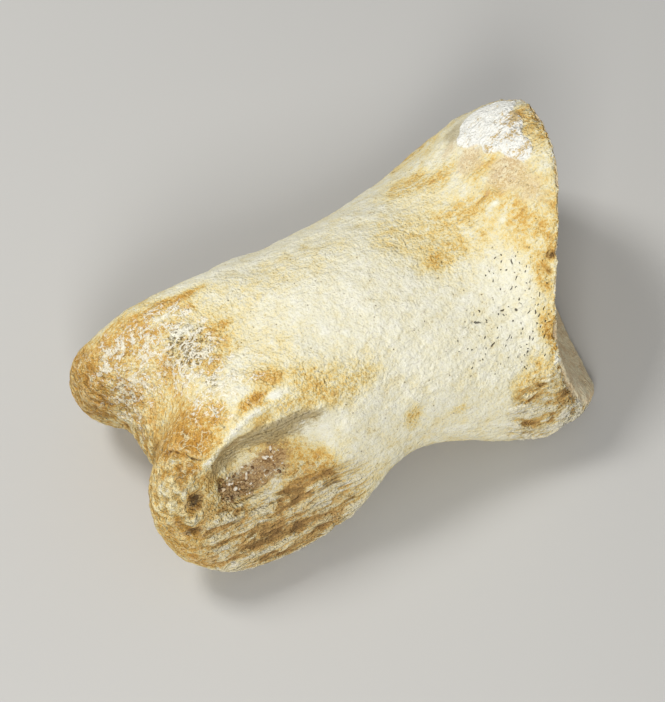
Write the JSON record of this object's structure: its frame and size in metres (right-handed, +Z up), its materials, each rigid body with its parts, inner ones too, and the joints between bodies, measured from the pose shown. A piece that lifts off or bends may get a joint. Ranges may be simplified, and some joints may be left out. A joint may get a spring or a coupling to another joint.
{
  "type": "fossil theropod toe bone",
  "caption": "Fossil toe bone of a large meat-eating dinosaur, lying on its sole: two-lobed far joint with a deep ligament pit, waisted shaft and a wide hollow near joint.",
  "frame": {"origin": "centre of the bounding box's bottom face, on the floor the bone lies on", "axes": "+X along the bone from the two-lobed far joint to the hollow near joint, +Z up out of the back of the toe, -Y out of the side with the deep ligament pit"},
  "size_m": [0.1078, 0.0652, 0.045],
  "materials": {
    "fossil_bone": "matte, dry mineralised bone: ivory shaft, ochre and orange stain on the joints"
  },
  "bodies": {
    "root": {"toe_bone": "fossil_bone"}
  },
  "joints": []
}
